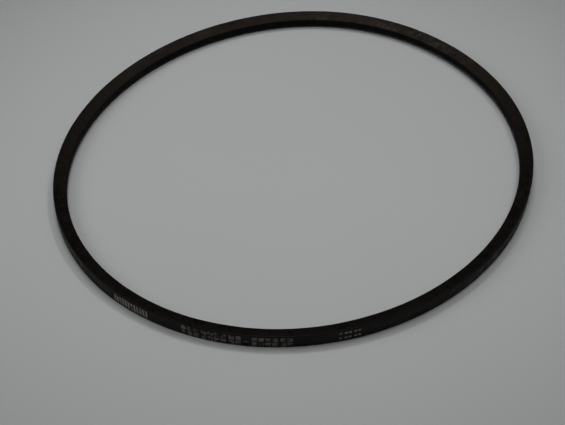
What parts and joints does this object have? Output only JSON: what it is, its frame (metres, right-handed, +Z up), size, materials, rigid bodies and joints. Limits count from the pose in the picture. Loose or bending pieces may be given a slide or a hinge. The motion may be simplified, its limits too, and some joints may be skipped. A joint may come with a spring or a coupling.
{
  "type": "v belt",
  "caption": "Endless wedge-section V-belt: woven rubberised jacket over rubber layers and wound tension cord, lying flat as a slightly oval loop.",
  "frame": {"origin": "middle of the loop's box, on the surface that the belt lies on", "axes": "+Z up, across the belt's width, along the axis that its pulleys would turn about; +X along the long axis of the oval loop"},
  "size_m": [0.4192, 0.3856, 0.0124],
  "materials": {
    "jacket_fabric": "matte",
    "base_rubber": "matte",
    "adhesion_gum": "satin",
    "polyester_cord": "satin",
    "grey_ink": "matte"
  },
  "bodies": {
    "root": {"jacket_outer_ply": "jacket_fabric", "jacket_inner_ply": "jacket_fabric", "tension_rubber": "base_rubber", "adhesion_gum_over_cords": "adhesion_gum", "adhesion_gum_under_cords": "adhesion_gum", "compression_rubber_upper_ply": "base_rubber", "compression_rubber_lower_ply": "base_rubber", "tension_cord_turn_1": "polyester_cord", "tension_cord_turn_2": "polyester_cord", "tension_cord_turn_3": "polyester_cord", "tension_cord_turn_4": "polyester_cord", "tension_cord_turn_5": "polyester_cord", "tension_cord_turn_6": "polyester_cord", "tension_cord_turn_7": "polyester_cord", "tension_cord_turn_8": "polyester_cord", "printed_bar_mark": "grey_ink", "printed_size_legend": "grey_ink", "printed_batch_code": "grey_ink"}
  },
  "joints": []
}
